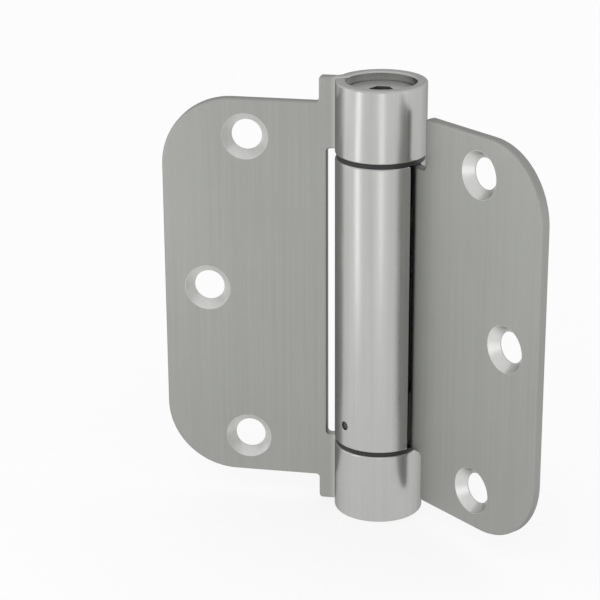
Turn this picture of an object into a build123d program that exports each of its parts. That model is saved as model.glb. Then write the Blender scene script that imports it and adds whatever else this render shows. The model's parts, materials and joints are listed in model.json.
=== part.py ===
"""Self-closing door hinge with a torsion spring in its barrel, in millimetres.

The frame leaf lies in the XZ plane with its back face on Y = 0 and its front towards -Y.
The origin is on that back face, midway between the leaf's upper and lower screw holes.
The hinge stands open by open_angle, as it hangs with the spring at ease.
"""

import os
from math import asin, atan2, degrees, sqrt

from build123d import *

os.makedirs("parts", exist_ok=True)

# Leaves, measured from the pivot axis outwards
leaf_height = 88.9
leaf_width = 49.4
corner_radius = 15.9
sheet = 2.3
leaf_setback = 0.8
open_angle = 139.0

# Screw holes, the two outer ones in a column and one in the middle near the edge
screw_spacing = 71.8
screw_from_edge = 19.0
middle_screw_from_edge = 9.9
screw_hole_diameter = 6.9
countersink_diameter = 10.4
countersink_angle = 82

# Barrel, rolled from the two sheets
barrel_diameter = 20.0
barrel_length = 100.4
centre_knuckle_length = 66.3
knuckle_gap = 0.9
bend_radius = 1.5
curl_gap = 0.9
notch_clearance = 2.1
relief_clearance = 3.55
tab_width = 3.9

# Rounded edges and corners
edge_round = 0.45
tab_corner_round = 0.8
notch_corner_round = 0.8
small_chamfer = 0.4
round_share_of_step = 0.4

# Fits
running_clearance = 0.05
press_clearance = 0.02

# Bushes, each with a sleeve in one knuckle and a flange between two
bush_wall = 2.15
upper_bush_length = 9.5
lower_bush_to_cap = 3.0
flange_inset = 0.3

# Adjusting spindle in the top knuckle
spindle_recess = 2.0
slot_below_bush = 1.3
hex_across_flats = 4.76
hex_depth = 8.0
tension_pin_diameter = 3.0
tension_pin_play = 0.3
tension_hole_count = 6
tension_hole_floor = 3.6
tension_slot_length = 9.0
tension_slot_bearing = 115.0

# Spring anchor in the centre knuckle, and the pin that holds it
anchor_pin_diameter = 2.0
anchor_pin_height = 5.2
anchor_pin_recess = 0.25
anchor_pin_end = 0.3
pin_to_slot = 1.65
stem_past_bush = 0.6

# Bottom cap
cap_thickness = 3.0
cap_recess = 0.5

# Torsion spring, wound from square wire with a tang across each end
wire = 2.0
coil_clearance = 1.0
coil_gap = 0.4
coil_end_clearance = 0.4
tang_depth = 3.5
tang_end_inset = 1.4
tang_slot_play = 0.3

# Derived from the sizes above
barrel_radius = barrel_diameter / 2
bore_radius = barrel_radius - sheet
half_barrel = barrel_length / 2
half_centre = centre_knuckle_length / 2
end_knuckle_start = half_centre + knuckle_gap
end_knuckle_length = half_barrel - end_knuckle_start
end_knuckle_middle = end_knuckle_start + end_knuckle_length / 2
notch_edge = barrel_radius + notch_clearance
relief_edge = barrel_radius + relief_clearance
tab_edge = barrel_radius + tab_width
screw_column = leaf_width - screw_from_edge
middle_screw_column = leaf_width - middle_screw_from_edge
blank_half_height = max(half_barrel, leaf_height / 2)
tab_step = abs(half_barrel - leaf_height / 2)
largest_round = tab_step * round_share_of_step
screw_places = (
    (screw_column, screw_spacing / 2),
    (screw_column, -screw_spacing / 2),
    (middle_screw_column, 0),
)
press_radius = bore_radius - press_clearance
bush_bore_radius = press_radius - bush_wall
stem_radius = bush_bore_radius - running_clearance
flange_radius = barrel_radius - flange_inset
flange_thickness = knuckle_gap - running_clearance
lower_bush_length = end_knuckle_length - cap_recess - cap_thickness - lower_bush_to_cap
tang_slot_depth = tang_depth + wire / 2 + tang_slot_play
tang_slot_width = wire + tang_slot_play
spindle_top = half_barrel - spindle_recess
spindle_head_radius = bore_radius - running_clearance
spindle_stem_end = half_centre - upper_bush_length - slot_below_bush - tang_slot_depth
anchor_pin_radius = anchor_pin_diameter / 2
anchor_pin_z = -half_centre + anchor_pin_height
anchor_top = anchor_pin_z + anchor_pin_radius + pin_to_slot + tang_slot_depth
anchor_stem_length = knuckle_gap + lower_bush_length + stem_past_bush
tension_hole_radius = (tension_pin_diameter + tension_pin_play) / 2
coil_mean_radius = bore_radius - coil_clearance - wire / 2
coil_bottom = anchor_top + coil_end_clearance + wire / 2
coil_top = spindle_stem_end - coil_end_clearance - wire / 2
coil_height = coil_top - coil_bottom
coil_turns = int(coil_height / (wire + coil_gap))
tang_outer = coil_mean_radius + wire / 2
tang_length = tang_outer + stem_radius - tang_end_inset
sheet_middle = leaf_setback + sheet / 2
corner_tolerance = 0.01

# Planes: each leaf's section plane has X along the leaf and Y towards its back
pivot = Vector(screw_column, -(sheet + leaf_setback), 0)
frame_section = Plane(pivot, x_dir=(-1, 0, 0), z_dir=(0, 0, -1))
door_section = Plane(pivot).rotated((0, 0, open_angle - 180))
anchor_pin_plane = Plane(pivot + Vector(0, 0, anchor_pin_z), door_section.x_dir, -door_section.y_dir)
tension_slot_plane = Plane(
    pivot + Vector(0, 0, end_knuckle_middle),
    Vector(0, 1, 0).rotate(Axis.Z, tension_slot_bearing),
    Vector(1, 0, 0).rotate(Axis.Z, tension_slot_bearing),
)


def barrel_plane(height: float) -> Plane:
    """The level plane across the barrel at a height, centred on the pivot axis."""
    return Plane(pivot + Vector(0, 0, height))


def front_plane(section: Plane) -> Plane:
    """The plane of a leaf's front face, with X along the leaf and its normal outwards."""
    return Plane(section.origin + section.y_dir * leaf_setback, section.x_dir, -section.y_dir)


def rolled_sheet(section: Plane) -> Sketch:
    """The sheet seen along the axis: flat leaf, bend to the back, then the curl round the barrel."""
    bend_middle = bend_radius + sheet / 2
    curl_middle = barrel_radius - sheet / 2
    bend_y = sheet_middle + bend_middle
    bend_x = sqrt((curl_middle + bend_middle) ** 2 - bend_y**2)
    bend_bearing = degrees(atan2(bend_y, bend_x))
    curl_stop = degrees(asin((curl_gap - leaf_setback) / barrel_radius))
    with BuildSketch(section) as profile:
        with BuildLine():
            Line((leaf_width, sheet_middle), (bend_x, sheet_middle))
            CenterArc((bend_x, bend_y), bend_middle, -90, bend_bearing - 90)
            CenterArc((0, 0), curl_middle, bend_bearing, 360 - bend_bearing - curl_stop)
        trace(line_width=sheet)
    return profile.sketch


def corners_at(outline: BuildSketch, along: float) -> ShapeList:
    """The corners of a leaf outline that lie a given distance along the leaf from the axis."""
    return outline.vertices().filter_by(lambda corner: abs(corner.X - along) < corner_tolerance)


def sharp_edges(leaf: BuildPart, section: Plane, end_levels: tuple) -> ShapeList:
    """The edges round a leaf's flat faces, and round the knuckle ends at the given heights."""
    flats = leaf.faces().filter_by(GeomType.PLANE).filter_by(Axis(pivot, section.y_dir))
    level_faces = leaf.faces().filter_by(Axis.Z)
    chosen = [edge for face in flats.sort_by(SortBy.AREA)[-2:] for edge in face.outer_wire().edges()]
    for face in level_faces:
        if any(abs(abs(face.center().Z) - level) < corner_tolerance for level in end_levels):
            chosen += face.edges()
    return leaf.edges().filter_by(lambda edge: any(edge.is_same(other) for other in chosen))


def bush_ring(height: float, outer_radius: float) -> Sketch:
    """The ring of a bush's flange or sleeve at a height, with the bore for a pivot stem."""
    with BuildSketch(barrel_plane(height)) as ring:
        Circle(outer_radius)
        Circle(bush_bore_radius, mode=Mode.SUBTRACT)
    return ring.sketch


# Frame leaf: the short top and bottom knuckles stand past the leaf, with a notch between them
with BuildPart() as frame_leaf:
    extrude(rolled_sheet(frame_section), blank_half_height, both=True)
    with BuildSketch(front_plane(frame_section)) as frame_outline:
        with Locations(((notch_edge + leaf_width) / 2, 0)):
            Rectangle(leaf_width - notch_edge, leaf_height)
        with Locations((0, end_knuckle_middle), (0, -end_knuckle_middle)):
            Rectangle(2 * tab_edge, end_knuckle_length)
        fillet(corners_at(frame_outline, leaf_width), corner_radius)
        for edge, radius in ((tab_edge, tab_corner_round), (notch_edge, notch_corner_round)):
            fillet(corners_at(frame_outline, edge), min(radius, largest_round))
    extrude(amount=barrel_diameter, both=True, mode=Mode.INTERSECT)
    frame_edges = sharp_edges(frame_leaf, frame_section, (half_barrel, end_knuckle_start))
    fillet(frame_edges, min(edge_round, largest_round))
    with Locations(front_plane(frame_section)):
        with Locations(*screw_places):
            CounterSinkHole(screw_hole_diameter / 2, countersink_diameter / 2, None, countersink_angle)
    with BuildSketch(tension_slot_plane):
        SlotOverall(tension_slot_length, 2 * tension_hole_radius)
    extrude(amount=barrel_diameter, mode=Mode.SUBTRACT)

frame_leaf.part.label = "frame_leaf"
export_step(frame_leaf.part, "parts/frame_leaf.step")

# Door leaf: the long centre knuckle, with a hole for the pin that holds the spring anchor
with BuildPart() as door_leaf:
    extrude(rolled_sheet(door_section), blank_half_height, both=True)
    with BuildSketch(front_plane(door_section)) as door_outline:
        with Locations(((relief_edge + leaf_width) / 2, 0)):
            Rectangle(leaf_width - relief_edge, leaf_height)
        Rectangle(2 * relief_edge, centre_knuckle_length)
        fillet(corners_at(door_outline, leaf_width), corner_radius)
        fillet(corners_at(door_outline, relief_edge), tab_corner_round)
    extrude(amount=barrel_diameter, both=True, mode=Mode.INTERSECT)
    fillet(sharp_edges(door_leaf, door_section, (half_centre,)), edge_round)
    with Locations(front_plane(door_section)):
        with Locations(*screw_places):
            CounterSinkHole(screw_hole_diameter / 2, countersink_diameter / 2, None, countersink_angle)
    with BuildSketch(anchor_pin_plane):
        Circle(anchor_pin_radius + press_clearance)
    extrude(amount=barrel_diameter, mode=Mode.SUBTRACT)

door_leaf.part.label = "door_leaf"
export_step(door_leaf.part, "parts/door_leaf.step")

# Upper bush: its sleeve is pressed into the centre knuckle and its flange carries the top knuckle
with BuildPart() as upper_bush:
    extrude(bush_ring(half_centre, flange_radius), flange_thickness)
    extrude(bush_ring(half_centre, press_radius), -upper_bush_length)

upper_bush.part.label = "upper_bush"
export_step(upper_bush.part, "parts/upper_bush.step")

# Lower bush: its sleeve is pressed into the bottom knuckle and its flange carries the centre one
with BuildPart() as lower_bush:
    extrude(bush_ring(-end_knuckle_start, flange_radius), flange_thickness)
    extrude(bush_ring(-end_knuckle_start, press_radius), -lower_bush_length)

lower_bush.part.label = "lower_bush"
export_step(lower_bush.part, "parts/lower_bush.step")

# Adjusting spindle: head with a hex socket and a ring of pin holes, stem slotted for the spring
with BuildPart() as adjusting_spindle:
    with BuildSketch(barrel_plane(spindle_top)):
        Circle(spindle_head_radius)
    extrude(amount=end_knuckle_start - spindle_top)
    chamfer(adjusting_spindle.edges().filter_by(GeomType.CIRCLE), small_chamfer)
    with BuildSketch(barrel_plane(end_knuckle_start)):
        Circle(stem_radius)
    extrude(amount=spindle_stem_end - end_knuckle_start)
    with BuildSketch(barrel_plane(spindle_top)):
        RegularPolygon(hex_across_flats / 2, 6, major_radius=False)
    extrude(amount=-hex_depth, mode=Mode.SUBTRACT)
    with BuildSketch(barrel_plane(spindle_stem_end)):
        Rectangle(barrel_diameter, tang_slot_width)
    extrude(amount=tang_slot_depth, mode=Mode.SUBTRACT)
    with Locations(barrel_plane(end_knuckle_middle)):
        with PolarLocations(spindle_head_radius, tension_hole_count, tension_slot_bearing):
            with Locations(Location((0, 0, 0), (0, 90, 0))):
                Hole(tension_hole_radius, spindle_head_radius - tension_hole_floor)

adjusting_spindle.part.label = "adjusting_spindle"
export_step(adjusting_spindle.part, "parts/adjusting_spindle.step")

# Spring anchor: plug in the centre knuckle, slotted on top, with the lower pivot stem below
with BuildPart() as spring_anchor:
    with BuildSketch(barrel_plane(-half_centre)):
        Circle(press_radius)
    extrude(amount=anchor_top + half_centre)
    with BuildSketch(barrel_plane(-half_centre)):
        Circle(stem_radius)
    extrude(amount=-anchor_stem_length)
    with BuildSketch(barrel_plane(anchor_top)):
        Rectangle(barrel_diameter, tang_slot_width)
    extrude(amount=-tang_slot_depth, mode=Mode.SUBTRACT)
    with BuildSketch(anchor_pin_plane):
        Circle(anchor_pin_radius + press_clearance)
    extrude(amount=barrel_diameter, mode=Mode.SUBTRACT)
    chamfer(spring_anchor.edges().filter_by(GeomType.CIRCLE).group_by(Axis.Z)[0], small_chamfer)

spring_anchor.part.label = "spring_anchor"
export_step(spring_anchor.part, "parts/spring_anchor.step")

# Anchor pin: driven in from the front of the centre knuckle, its end just below the surface
with BuildPart() as anchor_pin:
    with BuildSketch(anchor_pin_plane.offset(barrel_radius - anchor_pin_recess)):
        Circle(anchor_pin_radius)
    extrude(amount=anchor_pin_end - barrel_radius + anchor_pin_recess)
    chamfer(anchor_pin.edges().filter_by(GeomType.CIRCLE), anchor_pin_recess)

anchor_pin.part.label = "anchor_pin"
export_step(anchor_pin.part, "parts/anchor_pin.step")

# Bottom cap: closes the bottom knuckle
with BuildPart() as bottom_cap:
    with BuildSketch(barrel_plane(cap_recess - half_barrel)):
        Circle(press_radius)
    extrude(amount=cap_thickness)
    chamfer(bottom_cap.edges().filter_by(GeomType.CIRCLE).group_by(Axis.Z)[0], small_chamfer)

bottom_cap.part.label = "bottom_cap"
export_step(bottom_cap.part, "parts/bottom_cap.step")

# Torsion spring: square wire wound round the axis, each end turned along the axis and then across it
with BuildPart() as torsion_spring:
    with BuildLine(barrel_plane(coil_bottom)):
        coil = Helix(coil_height / coil_turns, coil_height, coil_mean_radius)
    with BuildSketch(Plane(coil @ 0, z_dir=coil % 0)):
        Rectangle(wire, wire)
    sweep(path=coil, is_frenet=True)
    for end, direction in ((coil_bottom, -1), (coil_top, 1)):
        with BuildSketch(barrel_plane(end)):
            with Locations((coil_mean_radius, 0)):
                Rectangle(wire, wire)
        extrude(amount=direction * (tang_depth + wire / 2))
        with BuildSketch(barrel_plane(end + direction * (tang_depth - wire / 2))):
            with Locations((tang_outer - tang_length / 2, 0)):
                Rectangle(tang_length, wire)
        extrude(amount=direction * wire)

torsion_spring.part.label = "torsion_spring"
export_step(torsion_spring.part, "parts/torsion_spring.step")
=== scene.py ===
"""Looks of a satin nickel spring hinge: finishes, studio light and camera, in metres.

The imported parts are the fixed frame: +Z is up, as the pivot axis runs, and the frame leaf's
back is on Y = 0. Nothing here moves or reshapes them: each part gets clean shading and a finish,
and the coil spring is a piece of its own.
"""

import json
import logging
from collections.abc import Mapping
from dataclasses import dataclass
from enum import Enum, IntEnum
from math import cos, pi, radians, sin
from typing import Any

import bmesh
import bpy
import numpy as np
from mathutils import Matrix, Vector


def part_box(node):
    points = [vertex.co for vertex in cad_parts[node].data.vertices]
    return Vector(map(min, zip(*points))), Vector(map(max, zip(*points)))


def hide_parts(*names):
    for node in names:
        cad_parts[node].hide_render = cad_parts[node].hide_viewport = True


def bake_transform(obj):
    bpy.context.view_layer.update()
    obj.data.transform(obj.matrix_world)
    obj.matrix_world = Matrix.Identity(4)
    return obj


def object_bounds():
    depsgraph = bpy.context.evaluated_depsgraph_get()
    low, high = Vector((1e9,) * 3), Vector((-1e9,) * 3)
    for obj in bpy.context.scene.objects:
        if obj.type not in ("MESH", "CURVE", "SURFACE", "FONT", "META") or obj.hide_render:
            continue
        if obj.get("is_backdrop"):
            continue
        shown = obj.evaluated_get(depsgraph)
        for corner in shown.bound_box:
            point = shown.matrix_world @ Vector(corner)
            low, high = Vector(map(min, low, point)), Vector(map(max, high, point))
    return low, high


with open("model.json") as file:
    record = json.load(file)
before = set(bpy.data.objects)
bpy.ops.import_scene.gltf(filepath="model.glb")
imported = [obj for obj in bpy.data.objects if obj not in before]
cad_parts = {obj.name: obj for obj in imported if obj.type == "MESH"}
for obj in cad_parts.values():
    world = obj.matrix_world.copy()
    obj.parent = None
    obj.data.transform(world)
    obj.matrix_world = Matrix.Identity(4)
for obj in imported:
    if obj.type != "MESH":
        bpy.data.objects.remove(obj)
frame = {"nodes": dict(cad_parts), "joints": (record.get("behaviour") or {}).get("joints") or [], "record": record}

log = logging.getLogger("spring_hinge")

MM = 0.001
NOISE_MIDDLE = 0.5
Colour = tuple[float, float, float]


class Side(Enum):
    """The two leaves of the hinge, by what each is screwed to."""

    FRAME = "frame_leaf"
    DOOR = "door_leaf"


class ColourMix(IntEnum):
    """A Mix node's sockets for colours, by number because its names repeat for each kind of data."""

    SHARE = 0
    FIRST = 6
    SECOND = 7
    RESULT = 2


class Signal:
    """What comes out of a node of a material. Arithmetic on a number adds Math nodes."""

    def __init__(self, graph: "Graph", socket: bpy.types.NodeSocket | None) -> None:
        """Keeps the node tree and the socket that the signal comes out of."""
        self.graph = graph
        self.socket = socket

    def __add__(self, other: "float | Signal") -> "Signal":
        """This plus the other."""
        return self.graph.math("ADD", self, other)

    def __radd__(self, other: float) -> "Signal":
        """The other plus this."""
        return self.graph.math("ADD", other, self)

    def __sub__(self, other: "float | Signal") -> "Signal":
        """This less the other."""
        return self.graph.math("SUBTRACT", self, other)

    def __rsub__(self, other: float) -> "Signal":
        """The other less this."""
        return self.graph.math("SUBTRACT", other, self)

    def __mul__(self, other: "float | Signal") -> "Signal":
        """This times the other."""
        return self.graph.math("MULTIPLY", self, other)

    def __rmul__(self, other: float) -> "Signal":
        """The other times this."""
        return self.graph.math("MULTIPLY", other, self)

    def __abs__(self) -> "Signal":
        """This without its sign."""
        return self.graph.math("ABSOLUTE", self)


class Graph:
    """The node tree of one material."""

    def __init__(self, name: str) -> None:
        """Makes an empty material.

        Args:
            name: the material's name.
        """
        self.material = bpy.data.materials.new(name)
        self.material.use_nodes = True
        self.tree = self.material.node_tree
        self.tree.nodes.clear()

    def node(
        self,
        kind: str,
        settings: Mapping[str, Any] | None = None,
        sockets: Mapping[str | int, Any] | None = None,
        output: str | int = 0,
    ) -> Signal:
        """Adds a node, sets it up, then fills or links its sockets.

        Args:
            kind: the node's type, such as ShaderNodeTexNoise.
            settings: attributes of the node, such as a Math node's operation.
            sockets: values or signals for its inputs, by name or number.
            output: the output to hand on, by name or number.

        Returns:
            The chosen output as a signal, with no socket where the node has none.
        """
        made = self.tree.nodes.new(kind)
        for name, value in (settings or {}).items():
            setattr(made, name, value)
        for key, value in (sockets or {}).items():
            if isinstance(value, Signal):
                self.tree.links.new(value.socket, made.inputs[key])
            else:
                made.inputs[key].default_value = value
        return Signal(self, made.outputs[output] if made.outputs else None)

    def math(self, operation: str, first: Any, second: Any = 0.0) -> Signal:
        """One Math node on two numbers."""
        return self.node("ShaderNodeMath", {"operation": operation}, {0: first, 1: second})

    def length(self, first: Signal, second: Signal) -> Signal:
        """The length of a flat vector, from its two parts."""
        return self.math("SQRT", first * first + second * second)

    def step(self, value: Signal, start: float, end: float) -> Signal:
        """Rises smoothly from 0 at start to 1 at end, also where end is the smaller.

        Args:
            value: the number to read.
            start: where the rise begins.
            end: where it is complete.

        Returns:
            A mask from 0 to 1.
        """
        rise = self.node(
            "ShaderNodeMapRange",
            {"interpolation_type": "SMOOTHSTEP"},
            {"Value": value, "From Min": min(start, end), "From Max": max(start, end)},
        )
        return rise if end > start else 1.0 - rise

    def mix(self, share: Signal, first: "Colour | Signal", second: "Colour | Signal") -> Signal:
        """Blends two colours, from the first at 0 to the second at 1.

        Args:
            share: how much of the second shows.
            first: a colour or a colour signal.
            second: a colour or a colour signal.

        Returns:
            The blended colour.
        """
        ends = [end if isinstance(end, Signal) else (*end, 1.0) for end in (first, second)]
        sockets = {ColourMix.SHARE: share, ColourMix.FIRST: ends[0], ColourMix.SECOND: ends[1]}
        return self.node("ShaderNodeMix", {"data_type": "RGBA"}, sockets, ColourMix.RESULT)

    def shade(self, colour: Signal, level: Signal) -> Signal:
        """A colour made lighter or darker by a level, where 1 leaves it alone."""
        return self.node("ShaderNodeVectorMath", {"operation": "SCALE"}, {0: colour, "Scale": level})

    def place(self, centre: Vector, turn: float = 0.0, flip: float = 1.0) -> Signal:
        """Object coordinates about a centre, flipped along X, then turned about Z.

        Args:
            centre: the point that becomes the origin.
            turn: the turn about Z, in radians.
            flip: 1, or -1 to count X the other way.

        Returns:
            The placed coordinates.
        """
        here = self.node("ShaderNodeTexCoord", output="Object")
        moved = self.node("ShaderNodeVectorMath", {"operation": "SUBTRACT"}, {0: here, 1: centre})
        sockets = {"Vector": moved, "Rotation": (0.0, 0.0, turn), "Scale": (flip, 1.0, 1.0)}
        return self.node("ShaderNodeMapping", {"vector_type": "POINT"}, sockets)

    def split(self, vector: Signal) -> tuple[Signal, Signal, Signal]:
        """The X, Y and Z of a vector."""
        parts = self.node("ShaderNodeSeparateXYZ", sockets={0: vector}).socket.node.outputs
        return Signal(self, parts[0]), Signal(self, parts[1]), Signal(self, parts[2])

    def stretch(self, vector: Signal, scale: tuple[float, float, float]) -> Signal:
        """A vector scaled along each axis."""
        return self.node("ShaderNodeVectorMath", {"operation": "MULTIPLY"}, {0: vector, 1: scale})

    def noise(self, vector: Signal, grains: float, detail: float = 2.0, rough: float = 0.5) -> Signal:
        """Soft random variation about zero, from -0.5 to 0.5.

        Args:
            vector: where the noise is read.
            grains: how many grains there are to a metre.
            detail: how many finer layers are added.
            rough: how strong each finer layer is.

        Returns:
            The variation.
        """
        sockets = {"Vector": vector, "Scale": grains, "Detail": detail, "Roughness": rough}
        return self.node("ShaderNodeTexNoise", {"noise_dimensions": "3D"}, sockets) - NOISE_MIDDLE

    def bump(self, height: Signal, strength: float, depth: float) -> Signal:
        """Surface normals tilted by a height.

        Args:
            height: the height, in units of depth.
            strength: the share of the tilt that is used.
            depth: one unit of height, in metres.

        Returns:
            The tilted normals.
        """
        sockets = {"Strength": strength, "Distance": depth, "Height": height}
        return self.node("ShaderNodeBump", sockets=sockets)

    def surface(self, sockets: Mapping[str, Any]) -> bpy.types.Material:
        """Ends the tree in a Principled surface.

        Args:
            sockets: values or signals for the surface's inputs.

        Returns:
            The finished material.
        """
        shader = self.node("ShaderNodeBsdfPrincipled", sockets=sockets)
        self.node("ShaderNodeOutputMaterial", sockets={"Surface": shader})
        return self.material


@dataclass(frozen=True)
class Leaf:
    """Where one leaf lies: its own frame has X along the leaf from the pivot and Y to its back."""

    side: Side
    pivot: Vector
    turn: float
    flip: float
    barrel_radius: float
    screw_column: float
    screw_half_spacing: float
    middle_column: float

    @classmethod
    def read(cls, side: Side) -> "Leaf":
        """Reads a leaf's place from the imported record.

        Args:
            side: which leaf.

        Returns:
            The leaf, with its screw places counted along it from the pivot.
        """
        joint = next(j for j in frame["joints"] if j["name"] == "leaf_pivot")
        mounts = {m["name"]: m for m in frame["record"]["mounts"]}
        pivot = Vector(joint["pos_m"])
        turn = radians(joint["range_deg"][1]) if side is Side.DOOR else 0.0
        flip = 1.0 if side is Side.DOOR else -1.0
        outer, middle = mounts[f"{side.value}_screws"], mounts[f"{side.value}_middle_screw"]
        spacing = outer["dims"]["pcd_mm" if side is Side.DOOR else "spacing_y_mm"]
        along = Matrix.Rotation(-turn, 3, "Z") @ Vector((flip, 0.0, 0.0))
        return cls(
            side=side,
            pivot=pivot,
            turn=turn,
            flip=flip,
            barrel_radius=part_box(Side.FRAME.value)[1].y - pivot.y,
            screw_column=(Vector(outer["pos_m"]) - pivot).dot(along),
            screw_half_spacing=spacing * MM / 2,
            middle_column=(Vector(middle["pos_m"]) - pivot).dot(along),
        )

    def back(self) -> Vector:
        """The direction out of the leaf's back face."""
        return Matrix.Rotation(-self.turn, 3, "Z") @ Vector((0.0, 1.0, 0.0))


@dataclass(frozen=True)
class SatinNickel:
    """Satin nickel plate on sheet steel, brushed along the barrel, smoother where it is rolled, with painted light
    making the barrel's plate lighter than the leaf's.
    """

    leaf_colour: Colour = (0.360, 0.365, 0.347)
    # Painted light: the same plate as the leaf, coloured lighter on the barrel in place of the brighter
    # reflections that the rolled barrel catches.
    barrel_painted_light_colour: Colour = (0.492, 0.497, 0.481)
    edge_colour: Colour = (0.350, 0.353, 0.338)
    leaf_roughness: float = 0.42
    barrel_roughness: float = 0.30
    edge_roughness: float = 0.50
    countersink_colour: Colour = (0.680, 0.682, 0.665)
    countersink_roughness: float = 0.34
    rim_tint: Colour = (0.5, 0.5, 0.5)
    streak_grains: float = 900.0
    streak_share: float = 0.6
    fine_grains: float = 3200.0
    fine_share: float = 0.5
    streak_shrink: float = 0.012
    streak_shade: float = 0.26
    streak_gloss: float = 0.14
    cloud_grains: float = 40.0
    cloud_shade: float = 0.08
    scuff_grains: float = 260.0
    scuff_shade: float = 0.06
    scuff_gloss: float = 0.08
    scuff_height: float = 0.3
    ring_height: float = 0.4
    relief_strength: float = 0.25
    relief_depth: float = 0.02 * MM
    roll_out: float = 1.6 * MM
    countersink_radius: float = 5.2 * MM
    countersink_floor: float = 2.9 * MM
    tool_mark_pitch: float = 0.3 * MM
    mask_blur: float = 0.08 * MM
    edge_facing: float = 0.6

    def build(self, leaf: Leaf) -> bpy.types.Material:
        """Makes the finish for one leaf.

        Args:
            leaf: the leaf's place.

        Returns:
            The material.
        """
        graph = Graph(f"satin_nickel_{leaf.side.name.lower()}")
        here = graph.place(leaf.pivot, leaf.turn, leaf.flip)
        along, back, up = graph.split(here)
        radius = graph.length(along, back)
        barrel = graph.step(radius, leaf.barrel_radius + self.roll_out, leaf.barrel_radius)
        hole = self.screw_distance(graph, leaf, along, up)
        sink = self.countersink(graph, hole, back)
        edge = self.sheared_edge(graph, leaf) * (1.0 - barrel) * (1.0 - sink)
        streaks = self.streaks(graph, here)
        clouds = graph.noise(here, self.cloud_grains)
        scuffs = graph.noise(here, self.scuff_grains, detail=4.0, rough=0.6)
        rings = graph.math("SINE", hole * (2 * pi / self.tool_mark_pitch)) * sink
        # Painted light: the barrel takes the lighter copy of the plate colour, in place of its brighter
        # reflections.
        plate = graph.mix(barrel, self.leaf_colour, self.barrel_painted_light_colour)
        cut = graph.mix(sink, graph.mix(edge, plate, self.edge_colour), self.countersink_colour)
        level = 1.0 + streaks * self.streak_shade + clouds * self.cloud_shade + scuffs * self.scuff_shade
        smooth = self.leaf_roughness + barrel * (self.barrel_roughness - self.leaf_roughness)
        worked = smooth + edge * (self.edge_roughness - self.leaf_roughness)
        drilled = worked + sink * (self.countersink_roughness - self.leaf_roughness)
        height = streaks * (1.0 - sink) + scuffs * self.scuff_height + rings * self.ring_height
        return graph.surface(
            {
                "Base Color": graph.shade(cut, level),
                "Metallic": 1.0,
                "Specular Tint": (*self.rim_tint, 1.0),
                "Roughness": drilled + streaks * self.streak_gloss + scuffs * self.scuff_gloss,
                "Normal": graph.bump(height, self.relief_strength, self.relief_depth),
            }
        )

    def screw_distance(self, graph: Graph, leaf: Leaf, along: Signal, up: Signal) -> Signal:
        """The distance to the nearest screw hole's axis, seen square on to the leaf.

        Args:
            graph: the material's node tree.
            leaf: the leaf's place.
            along: the distance along the leaf from the pivot.
            up: the height.

        Returns:
            The distance, in metres.
        """
        outer = graph.length(along - leaf.screw_column, abs(up) - leaf.screw_half_spacing)
        middle = graph.length(along - leaf.middle_column, up)
        return graph.math("MINIMUM", outer, middle)

    def countersink(self, graph: Graph, hole: Signal, back: Signal) -> Signal:
        """Where a countersink is cut: close to a screw hole's axis and clear of the leaf's back face.

        Args:
            graph: the material's node tree.
            hole: the distance to the nearest screw hole's axis.
            back: the distance behind the pivot axis, square to the leaf.

        Returns:
            A mask from 0 to 1.
        """
        close = graph.step(hole, self.countersink_radius + self.mask_blur, self.countersink_radius)
        clear = graph.step(back, self.countersink_floor + self.mask_blur, self.countersink_floor)
        return close * clear

    def sheared_edge(self, graph: Graph, leaf: Leaf) -> Signal:
        """Where the sheet's cut edges show: faces turned well away from the leaf's front and back.

        Args:
            graph: the material's node tree.
            leaf: the leaf's place.

        Returns:
            A mask from 0 to 1.
        """
        normal = graph.node("ShaderNodeTexCoord", output="Normal")
        sockets = {0: normal, 1: leaf.back()}
        facing = graph.node("ShaderNodeVectorMath", {"operation": "DOT_PRODUCT"}, sockets, "Value")
        return graph.step(abs(facing), self.edge_facing, self.edge_facing / 2)

    def streaks(self, graph: Graph, here: Signal) -> Signal:
        """Brushing: noise drawn out along the barrel, in a broad and a fine layer.

        Args:
            graph: the material's node tree.
            here: the coordinates along, behind and up the leaf.

        Returns:
            The streaks, as a variation about zero.
        """
        drawn = graph.stretch(here, (1.0, 1.0, self.streak_shrink))
        broad = graph.noise(drawn, self.streak_grains, detail=3.0)
        fine = graph.noise(drawn, self.fine_grains)
        return broad * self.streak_share + fine * self.fine_share


@dataclass(frozen=True)
class TurnedSteel:
    """Steel turned on a lathe: fine circles round the pivot axis on ends and sides alike."""

    name: str
    colour: Colour
    roughness: float
    oil: float = 0.0
    mark_grains: float = 5200.0
    mark_gloss: float = 0.12
    valley_level: float = 0.8
    stain_grains: float = 220.0
    stain_shade: float = 0.3
    stain_gloss: float = 0.12
    relief_strength: float = 0.35
    relief_depth: float = 0.02 * MM

    def build(self, pivot: Vector) -> bpy.types.Material:
        """Makes the finish.

        Args:
            pivot: a point on the turning axis, which is upright.

        Returns:
            The material.
        """
        graph = Graph(self.name)
        here = graph.place(pivot)
        across, back, up = graph.split(here)
        reach = graph.length(across, back) + up
        line = graph.node("ShaderNodeCombineXYZ", sockets={0: reach})
        marks = graph.noise(line, self.mark_grains, rough=0.6)
        stains = graph.noise(here, self.stain_grains, detail=4.0, rough=0.6)
        valley = tuple(self.valley_level * part for part in self.colour)
        shown = graph.mix(marks + NOISE_MIDDLE, self.colour, valley)
        return graph.surface(
            {
                "Base Color": graph.shade(shown, 1.0 + stains * self.stain_shade),
                "Metallic": 1.0,
                "Roughness": self.roughness + marks * self.mark_gloss + stains * self.stain_gloss,
                "Coat Weight": self.oil,
                "Normal": graph.bump(marks, self.relief_strength, self.relief_depth),
            }
        )


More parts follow.
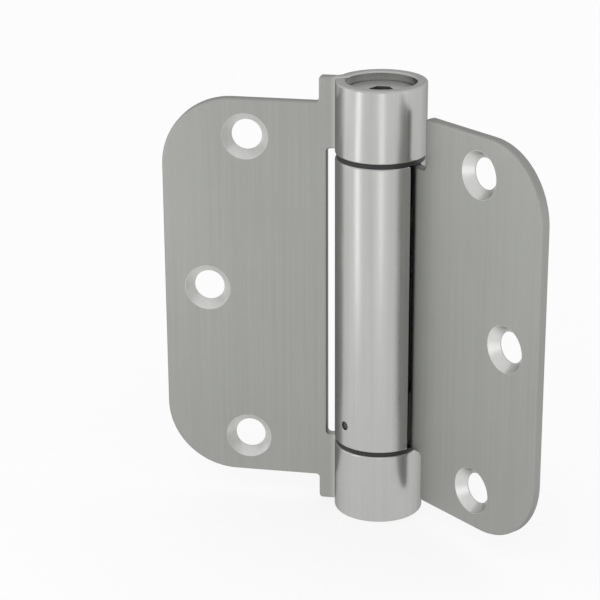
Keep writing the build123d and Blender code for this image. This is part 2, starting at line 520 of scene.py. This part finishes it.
@dataclass(frozen=True)
class BlackNylon:
    """Moulded black nylon with a fine matt grain."""

    colour: Colour = (0.012, 0.012, 0.012)
    worn_colour: Colour = (0.030, 0.030, 0.029)
    worn_share: float = 0.4
    roughness: float = 0.55
    grain_grains: float = 4200.0
    grain_gloss: float = 0.15
    wear_grains: float = 420.0
    wear_gloss: float = 0.1
    relief_strength: float = 0.3
    relief_depth: float = 0.03 * MM

    def build(self, name: str) -> bpy.types.Material:
        """Makes the finish.

        Args:
            name: the material's name.

        Returns:
            The material.
        """
        graph = Graph(name)
        here = graph.place(Vector())
        grain = graph.noise(here, self.grain_grains, detail=3.0, rough=0.6)
        wear = graph.noise(here, self.wear_grains, detail=3.0)
        return graph.surface(
            {
                "Base Color": graph.mix(wear + self.worn_share, self.colour, self.worn_colour),
                "Metallic": 0.0,
                "Roughness": self.roughness + grain * self.grain_gloss + wear * self.wear_gloss,
                "Normal": graph.bump(grain, self.relief_strength, self.relief_depth),
            }
        )


@dataclass(frozen=True)
class DrawnWire:
    """Dark drawn steel with a film of oil, streaked along the pivot axis."""

    name: str
    colour: Colour
    film_colour: Colour
    roughness: float = 0.38
    oil: float = 0.2
    streak_grains: float = 2400.0
    streak_shrink: float = 0.2
    streak_share: float = 0.4
    streak_gloss: float = 0.2
    film_grains: float = 300.0
    film_gloss: float = 0.15
    relief_strength: float = 0.25
    relief_depth: float = 0.02 * MM

    def build(self, pivot: Vector) -> bpy.types.Material:
        """Makes the finish.

        Args:
            pivot: a point on the pivot axis, which is upright.

        Returns:
            The material.
        """
        graph = Graph(self.name)
        here = graph.place(pivot)
        drawn = graph.stretch(here, (1.0, 1.0, self.streak_shrink))
        streaks = graph.noise(drawn, self.streak_grains, detail=3.0)
        film = graph.noise(here, self.film_grains, detail=4.0, rough=0.6)
        filmed = film + NOISE_MIDDLE + streaks * self.streak_share
        return graph.surface(
            {
                "Base Color": graph.mix(filmed, self.colour, self.film_colour),
                "Metallic": 1.0,
                "Roughness": self.roughness + streaks * self.streak_gloss + film * self.film_gloss,
                "Coat Weight": self.oil,
                "Normal": graph.bump(streaks, self.relief_strength, self.relief_depth),
            }
        )


@dataclass(frozen=True)
class Shading:
    """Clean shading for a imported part: flats stay flat, rolls stay round, sharp edges stay sharp."""

    weld_distance: float = 0.001 * MM
    sharp_angle: float = radians(34.0)

    def apply(self, part: bpy.types.Object) -> None:
        """Adds the modifiers that work out the part's normals from its larger faces.

        Args:
            part: the part's object.
        """
        weld = part.modifiers.new("weld", "WELD")
        weld.merge_threshold = self.weld_distance
        split = part.modifiers.new("sharp_edges", "EDGE_SPLIT")
        split.split_angle = self.sharp_angle
        part.modifiers.new("area_normals", "WEIGHTED_NORMAL")


@dataclass
class SubAssembly:
    """Parts that move together, each with its finish."""

    shading: Shading

    def dress_part(self, part: bpy.types.Object, finish: bpy.types.Material) -> None:
        """Gives a part clean shading and a finish.

        Args:
            part: the part's object.
            finish: the material for its whole surface.
        """
        part.data.materials.clear()
        part.data.materials.append(finish)
        self.shading.apply(part)
        log.info("%s: %s", part.name, finish.name)

    def dress_node(self, node: str, finish: bpy.types.Material) -> None:
        """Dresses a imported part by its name."""
        self.dress_part(frame["nodes"][node], finish)


@dataclass(frozen=True)
class WindingSpring:
    """The coil spring, which winds as its foot goes with the door and its top stays with the frame."""

    node: str = "torsion_spring"
    tang_reach: float = 4.5 * MM
    merge_distance: float = 0.001 * MM

    def build(self, pivot: Vector) -> bpy.types.Object:
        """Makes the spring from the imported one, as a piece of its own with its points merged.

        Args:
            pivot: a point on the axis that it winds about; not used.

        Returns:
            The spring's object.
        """
        mesh = frame["nodes"][self.node].data.copy()
        shell = bmesh.new()
        shell.from_mesh(mesh)
        bmesh.ops.remove_doubles(shell, verts=shell.verts, dist=self.merge_distance)
        shell.to_mesh(mesh)
        shell.free()
        spring = bpy.data.objects.new("winding_spring", mesh)
        bpy.context.scene.collection.objects.link(spring)
        low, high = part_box(self.node)
        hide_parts(self.node)
        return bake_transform(spring)


@dataclass
class FrameSide(SubAssembly):
    """The fixed leaf, with the bush and cap in its bottom knuckle."""

    leaf: Leaf
    plate: SatinNickel
    nylon: BlackNylon
    cap: TurnedSteel

    def dress(self) -> None:
        """Dresses the leaf, the lower bush and the bottom cap."""
        self.dress_node("frame_leaf", self.plate.build(self.leaf))
        self.dress_node("lower_bush", self.nylon.build("lower_bush_nylon"))
        self.dress_node("bottom_cap", self.cap.build(self.leaf.pivot))


@dataclass
class DoorSide(SubAssembly):
    """The moving leaf, with the upper bush and the spring and its anchor in the centre knuckle."""

    leaf: Leaf
    plate: SatinNickel
    nylon: BlackNylon
    anchor: TurnedSteel
    pin: DrawnWire
    wire: DrawnWire
    spring: WindingSpring

    def dress(self) -> None:
        """Dresses the leaf, the upper bush, the anchor with its pin, and the spring."""
        self.dress_node("door_leaf", self.plate.build(self.leaf))
        self.dress_node("upper_bush", self.nylon.build("upper_bush_nylon"))
        self.dress_node("spring_anchor", self.anchor.build(self.leaf.pivot))
        self.dress_node("anchor_pin", self.pin.build(self.leaf.pivot))
        self.dress_part(self.spring.build(self.leaf.pivot), self.wire.build(self.leaf.pivot))


@dataclass
class Adjuster(SubAssembly):
    """The spindle in the top knuckle that sets the spring's tension."""

    pivot: Vector
    steel: TurnedSteel

    def dress(self) -> None:
        """Dresses the spindle."""
        self.dress_node("adjusting_spindle", self.steel.build(self.pivot))


@dataclass(frozen=True)
class Softbox:
    """An upright studio lamp panel, facing the pivot axis and standing just off the floor.

    A panel of an even glow gives out pi times that glow for each square metre, as its power.
    """

    name: str
    bearing: float
    distance: float
    width: float
    height: float
    glow: float
    foot: float = 4.0 * MM

    def build(self, centre: Vector, floor: float) -> None:
        """Puts the lamp in the scene.

        Args:
            centre: the point on the axis that it faces.
            floor: the height of the floor.
        """
        data = bpy.data.lights.new(self.name, "AREA")
        data.shape = "RECTANGLE"
        data.size, data.size_y = self.width, self.height
        data.energy = self.glow * pi * self.width * self.height
        lamp = bpy.data.objects.new(self.name, data)
        out = Vector((sin(self.bearing), -cos(self.bearing), 0.0))
        level = floor + self.foot + self.height / 2
        lamp.location = Vector((centre.x, centre.y, level)) + out * self.distance
        lamp.rotation_euler = (-out).to_track_quat("-Z", "Y").to_euler()
        lamp.visible_camera = False
        bpy.context.scene.collection.objects.link(lamp)
        log.info("lamp %s", self.name)


@dataclass(frozen=True)
class PhotoCamera:
    """The camera of the photograph: where it stands about the barrel and how long its lens is."""

    bearing: float = radians(11.02)
    elevation: float = radians(20.46)
    roll: float = radians(-0.32)
    distance: float = 477.24 * MM
    aim: Vector = Vector((-18.08, 0.0, -1.34)) * MM
    lens: float = 127.60
    sensor: float = 36.0
    nearest: float = 0.01
    farthest: float = 20.0

    def build(self, pivot: Vector) -> None:
        """Puts the camera in the scene and makes it the one in use.

        Args:
            pivot: the point on the barrel's axis that its aim is counted from.
        """
        data = bpy.data.cameras.new("photo_camera")
        data.sensor_width, data.lens = self.sensor, self.lens
        data.clip_start, data.clip_end = self.nearest, self.farthest
        camera = bpy.data.objects.new("photo_camera", data)
        level = cos(self.elevation)
        out = Vector((sin(self.bearing) * level, -cos(self.bearing) * level, sin(self.elevation)))
        right = Vector((cos(self.bearing), sin(self.bearing), 0.0))
        upright = Matrix((right, out.cross(right), out)).transposed()
        turned = Matrix.Rotation(self.roll, 3, out) @ upright
        stand = Matrix.Translation(pivot + self.aim + out * self.distance)
        camera.matrix_world = stand @ turned.to_4x4()
        bpy.context.scene.collection.objects.link(camera)
        bpy.context.scene.camera = camera


@dataclass
class Studio:
    """A plain white floor that lifts at its rim, a pale surround, two lamp strips and two panels."""

    pivot: Vector
    floor_height: float
    flat_reach: float = 1.6
    full_reach: float = 3.0
    rim_lift: float = 0.6
    rings: int = 24
    spokes: int = 96
    floor_colour: Colour = (0.97, 0.97, 0.97)
    white_share: float = 0.8
    surround: float = 0.9
    lamps: tuple[Softbox, ...] = (
        Softbox("left_strip", bearing=radians(-48.0), distance=0.14, width=0.022, height=0.10, glow=1.7),
        Softbox("left_panel", bearing=radians(-84.0), distance=0.40, width=0.16, height=0.12, glow=0.9),
        Softbox("front_strip", bearing=radians(11.0), distance=0.15, width=0.027, height=0.08, glow=1.0),
        Softbox("right_panel", bearing=radians(60.0), distance=0.40, width=0.14, height=0.12, glow=0.9),
    )

    def floor_points(self) -> np.ndarray:
        """The floor as rings about the pivot: flat to flat_reach, then lifting as a square.

        Returns:
            The rings' points, rings by spokes by three, from the inmost ring outwards.
        """
        reach = self.full_reach * np.linspace(0.0, 1.0, self.rings + 1)[1:, None]
        angle = 2 * pi * np.arange(self.spokes)[None, :] / self.spokes
        past = np.clip((reach - self.flat_reach) / (self.full_reach - self.flat_reach), 0.0, 1.0)
        across = self.pivot.x + reach * np.cos(angle)
        back = self.pivot.y + reach * np.sin(angle)
        height = self.floor_height + self.rim_lift * past**2
        return np.stack(np.broadcast_arrays(across, back, height), axis=-1)

    def floor_finish(self) -> bpy.types.Material:
        """White paint that camera, mirror and glass see partly as plain white, so its shadows stay faint.

        Returns:
            The material.
        """
        graph = Graph("studio_floor")
        seen = graph.node("ShaderNodeLightPath", output="Is Camera Ray")
        seen += graph.node("ShaderNodeLightPath", output="Is Glossy Ray")
        seen += graph.node("ShaderNodeLightPath", output="Is Transmission Ray")
        paint = graph.node("ShaderNodeBsdfDiffuse", sockets={"Color": (*self.floor_colour, 1.0)})
        white = graph.node("ShaderNodeEmission", sockets={"Strength": 1.0})
        blend = {0: seen * self.white_share, 1: paint, 2: white}
        shown = graph.node("ShaderNodeMixShader", sockets=blend)
        graph.node("ShaderNodeOutputMaterial", sockets={"Surface": shown})
        return graph.material

    def build_floor(self) -> None:
        """Makes the floor's mesh, closed at its middle by a fan, and marks it as stage."""
        points = self.floor_points().reshape(-1, 3)
        middle = len(points)
        points = np.vstack([points, [self.pivot.x, self.pivot.y, self.floor_height]])
        spoke = np.arange(self.spokes)
        following = np.roll(spoke, -1)
        inner = (np.arange(self.rings - 1) * self.spokes)[:, None]
        outer = inner + self.spokes
        quads = np.stack([inner + spoke, outer + spoke, outer + following, inner + following], axis=-1)
        fan = np.stack([spoke, following, np.full_like(spoke, middle)], axis=-1)
        mesh = bpy.data.meshes.new("studio_floor")
        mesh.from_pydata(points.tolist(), [], fan.tolist() + quads.reshape(-1, 4).tolist())
        mesh.shade_smooth()
        mesh.materials.append(self.floor_finish())
        floor = bpy.data.objects.new("studio_floor", mesh)
        bpy.context.scene.collection.objects.link(floor)
        floor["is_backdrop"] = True

    def build_surround(self) -> None:
        """Makes the world an even pale light."""
        world = bpy.data.worlds.new("pale_surround")
        world.use_nodes = True
        sky = world.node_tree.nodes["Background"]
        sky.inputs["Color"].default_value = (1.0, 1.0, 1.0, 1.0)
        sky.inputs["Strength"].default_value = self.surround
        bpy.context.scene.world = world

    def build(self) -> None:
        """Builds the floor, the surround and the lamps."""
        self.build_floor()
        self.build_surround()
        for lamp in self.lamps:
            lamp.build(self.pivot, self.floor_height)
        bpy.context.scene.view_settings.view_transform = "Standard"


def main() -> None:
    """Dresses the hinge, then sets up the studio and the camera."""
    logging.basicConfig(level=logging.INFO, format="%(message)s")
    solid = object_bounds()
    shading = Shading()
    plate = SatinNickel()
    nylon = BlackNylon()
    frame_leaf, door_leaf = Leaf.read(Side.FRAME), Leaf.read(Side.DOOR)
    spindle_steel = TurnedSteel("spindle_steel", colour=(0.46, 0.46, 0.445), roughness=0.36)
    cap_steel = TurnedSteel("cap_steel", colour=(0.40, 0.40, 0.385), roughness=0.34)
    anchor_steel = TurnedSteel("anchor_steel", colour=(0.30, 0.30, 0.30), roughness=0.42, oil=0.2)
    pin_steel = DrawnWire(
        "pin_steel", colour=(0.10, 0.10, 0.10), film_colour=(0.05, 0.05, 0.048), roughness=0.5
    )
    spring_wire = DrawnWire("spring_wire", colour=(0.20, 0.20, 0.205), film_colour=(0.09, 0.085, 0.08))
    FrameSide(shading, frame_leaf, plate, nylon, cap=cap_steel).dress()
    DoorSide(
        shading,
        door_leaf,
        plate,
        nylon,
        anchor=anchor_steel,
        pin=pin_steel,
        wire=spring_wire,
        spring=WindingSpring(),
    ).dress()
    Adjuster(shading, door_leaf.pivot, steel=spindle_steel).dress()
    Studio(frame_leaf.pivot, solid[0].z).build()
    PhotoCamera().build(frame_leaf.pivot)


if __name__ == "__main__":
    main()
